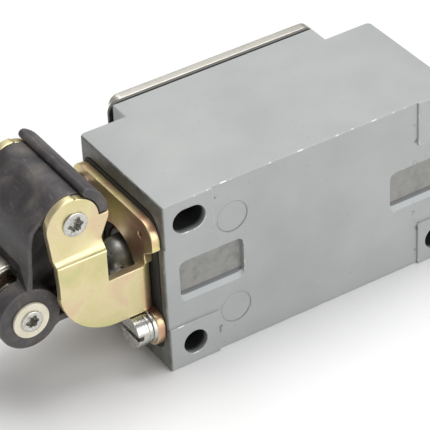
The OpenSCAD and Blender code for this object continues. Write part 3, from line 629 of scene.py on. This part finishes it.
def near_mark(p):
    return (p.x - MARK_X) ** 2 + (abs(p.z) - MARK_Z) ** 2 < MARK_R ** 2 and p.y < 1


def on_rim(p):
    """True on the outline of the cover, away from its screws."""
    return abs(p.z) > 17.5 or p.x < -24.1 or p.x > 23.1


def any_edge(a, b, e):
    return e.calc_face_angle_signed(0) > 0


def housing_corner(a, b, e):
    """The four upright corners, and the long edges of the upper side."""
    upright = abs((b - a).y) > 20 and at_side(a) and at_end(a)
    along = at_side(a) and at_side(b) and min(a.y, b.y) > 20
    return any_edge(a, b, e) and (upright or along)


def housing_edge(a, b, e):
    """The other outer edges, except those of the moulding marks and of the cover's seat."""
    marked = near_mark(a) or near_mark(b)
    return any_edge(a, b, e) and on_skin(a) and on_skin(b) and not marked and min(a.y, b.y) < COVER_SEAT


def cover_outline(a, b, e):
    return any_edge(a, b, e) and min(a.y, b.y) > COVER_TOP and on_rim(a) and on_rim(b)


def shape_casting(bm):
    """Slopes the lower wall of the two floor pockets, and opens the bore of the cable entry to the thread's major
    radius."""
    for v in bm.verts:
        p = v.co / MM
        corner = POCKET_LOW + POCKET_CORNER - p.z
        on_wall = 0 < corner < POCKET_CORNER + 0.1
        if abs(p.y - POCKET_FLOOR) < AT_HEIGHT and on_wall and abs(p.x) < 36:
            v.co.z += SLOPE_IN * corner / POCKET_CORNER * MM
        elif abs(p.y - PAD_FACE) < AT_HEIGHT and on_wall and 17 < abs(p.x) < 33:
            v.co.z -= SLOPE_OUT * corner / POCKET_CORNER * MM
        radius = ((p.y - AXIS_Y) ** 2 + p.z ** 2) ** 0.5
        if p.x > 20 and abs(radius - THREAD_MINOR) < 0.03:
            k = THREAD_MAJOR / radius
            v.co = Vector((p.x, AXIS_Y + (p.y - AXIS_Y) * k, p.z * k)) * MM


# ---- the pieces ----

def make_pieces():
    """Radii are in mm."""
    rounded("housing", "housing_casting", [(0.4, 3, housing_corner), (0.18, 2, housing_edge)], before=shape_casting)
    rounded("bracket", "bracket_pressing", [(0.2, 2, any_edge)])
    rounded("lever", "lever_moulding", [(0.3, 2, any_edge)])
    rounded("cover", "cover_lid", [(0.35, 3, cover_outline), (0.1, 2, any_edge)])
    rounded("cover_gasket", "cover_lip", [(0.2, 2, any_edge)])
    rounded("head_gasket", "head_seal", [(0.15, 2, any_edge)])
    for node in ("roller", "bracket_screws", "spring_washers", "flat_washers", "cover_screws", "roller_pin_washers",
                 "pivot_clip", "plunger_guide", "terminal_clamps", "terminal_screws", "contact_block_base",
                 "contact_block_cover"):
        radius = 0.14 if node in ("roller", "bracket_screws") else 0.08
        rounded(node, node + "_finished", [(radius, 2, any_edge)])


def pin_head(face, head, shank, socket, mouth, rim, floor):
    """Profile of a low round head with a lobed socket: its outer face and the socket's floor lie at these distances
    along Y; the rest are radii."""
    return [(0, floor, False), (socket, floor, True), (socket, face + 0.19, True), (mouth, face + 0.04, True),
            (rim, face, False), (head - 0.2, face, False), (head - 0.05, face + 0.08, False),
            (head, face + 0.24, False), (head, face + 0.44, False), (shank, face + 0.44, False)]


def make_pins():
    """The pivot pin has the groove for its clip at the tail; the roller pin's tail is riveted over."""
    clip_groove = [(2.0, 30.3, False), (1.6, 30.3, False), (1.6, 31.0, False), (2.0, 31.0, False),
                   (2.0, 31.6, False), (1.8, 31.8, False), (0, 31.8, False)]
    riveted = [(1.9, 28.8, False), (2.3, 28.8, False), (2.3, 29.05, False), (2.15, 29.24, False), (0, 29.24, False)]
    pivot_head = pin_head(4.76, head=2.65, shank=2.0, socket=1.42, mouth=1.55, rim=1.95, floor=6.2)
    roller_head = pin_head(6.16, head=2.3, shank=1.9, socket=1.2, mouth=1.32, rim=1.68, floor=7.7)
    turned("pivot_pin", "pivot_pin_turned", pivot_head + clip_groove, PIVOT_AXIS)
    turned("roller_pin", "roller_pin_turned", roller_head + riveted, ROLLER_AXIS)


def paint_cad_nodes():
    for node, slot in SLOT_OF.items():
        materials = NODES[node].data.materials
        materials.clear()
        materials.append(MATERIALS[slot])


def make_floor():
    """A white sweep just under the switch."""
    size = 3.0
    drop = 0.02 * MM
    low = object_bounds()[0][2] - drop
    mesh = bpy.data.meshes.new("floor")
    mesh.from_pydata([(-size, -size, low), (size, -size, low), (size, size, low), (-size, size, low)], [],
                     [(0, 1, 2, 3)])
    obj = bpy.data.objects.new("floor", mesh)
    scene.collection.objects.link(obj)
    material, tree, bsdf, place = new_material("paper_sweep", Roughness=0.9)
    white = patches(tree, lumps(place, 40, 2), [(0.3, "#f4f4f4"), (0.7, "#f8f8f8")])
    tree.links.new(white, bsdf.inputs["Base Color"])
    mesh.materials.append(material)


make_camera()
make_lights()
paint_cad_nodes()
make_pieces()
make_pins()
make_springs()
make_thread()
make_floor()
